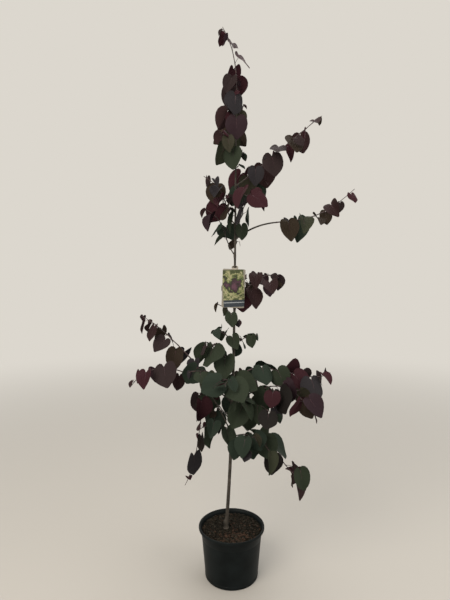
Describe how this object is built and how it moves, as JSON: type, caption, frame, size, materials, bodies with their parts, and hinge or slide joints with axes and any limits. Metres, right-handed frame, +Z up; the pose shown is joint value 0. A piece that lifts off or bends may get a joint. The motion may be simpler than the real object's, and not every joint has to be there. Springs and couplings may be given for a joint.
{
  "type": "young redbud tree in a nursery pot",
  "caption": "Young redbud tree: a slender trunk with zigzag side shoots, heart-shaped purple and green leaves and a hanging plant card, in a round nursery pot.",
  "frame": {"origin": "centre of the pot's flat underside", "axes": "+Z up along the trunk, -Y the front that the card faces, +X to the right seen from the front"},
  "size_m": [0.9228, 0.5624, 2.2812],
  "materials": {
    "pot": "moulded black polypropylene, dull with a soft sheen on the rim",
    "soil": "loose bark and peat potting mix, matt and slightly damp",
    "bark": "smooth grey-brown young bark with fine pores and leaf scars",
    "leaf_purple": "young leaves, dark purple red with a waxy sheen",
    "leaf_green": "grown leaves, dark bluish green with a waxy bloom",
    "card": "thin printed plastic card, satin"
  },
  "bodies": {
    "root": {"pot": "pot", "soil": "soil", "trunk": "bark", "card": "card", "bough_inner_back": "bark", "bough_inner_front": "bark", "bough_inner_left": "bark", "bough_inner_right": "bark", "bough_left_arch": "bark", "bough_left_hanging": "bark", "bough_left_lift": "bark", "bough_left_long": "bark", "bough_left_low": "bark", "bough_low_back": "bark", "bough_low_front": "bark", "bough_low_left": "bark", "bough_low_right": "bark", "bough_lower_right": "bark", "bough_middle_back": "bark", "bough_middle_right": "bark", "bough_right_arch": "bark", "bough_right_hanging": "bark", "bough_right_long": "bark", "bough_right_reach": "bark", "bough_upper_back": "bark", "bough_upper_front": "bark", "bough_upper_left": "bark", "bough_upper_right": "bark", "mass_crown_left": "leaf_green", "mass_crown_right": "leaf_purple", "mass_inner_back": "leaf_green", "mass_inner_front": "leaf_green", "mass_inner_left": "leaf_green", "mass_inner_right": "leaf_green", "mass_leader": "leaf_purple", "mass_left_arch": "leaf_green", "mass_left_hanging": "leaf_purple", "mass_left_lift": "leaf_purple", "mass_left_long": "leaf_purple", "mass_left_low": "leaf_purple", "mass_low_back": "leaf_green", "mass_low_front": "leaf_green", "mass_low_left": "leaf_green", "mass_low_right": "leaf_green", "mass_lower_right": "leaf_purple", "mass_middle_back": "leaf_purple", "mass_middle_left": "leaf_green", "mass_middle_right": "leaf_purple", "mass_right_arch": "leaf_purple", "mass_right_hanging": "leaf_purple", "mass_right_long": "leaf_purple", "mass_right_reach": "leaf_purple", "mass_shoulder_back": "leaf_green", "mass_shoulder_left": "leaf_green", "mass_spur_left": "leaf_green", "mass_spur_right": "leaf_green", "mass_upper_back": "leaf_green", "mass_upper_front": "leaf_green", "mass_upper_left": "leaf_purple", "mass_upper_right": "leaf_purple"}
  },
  "joints": []
}
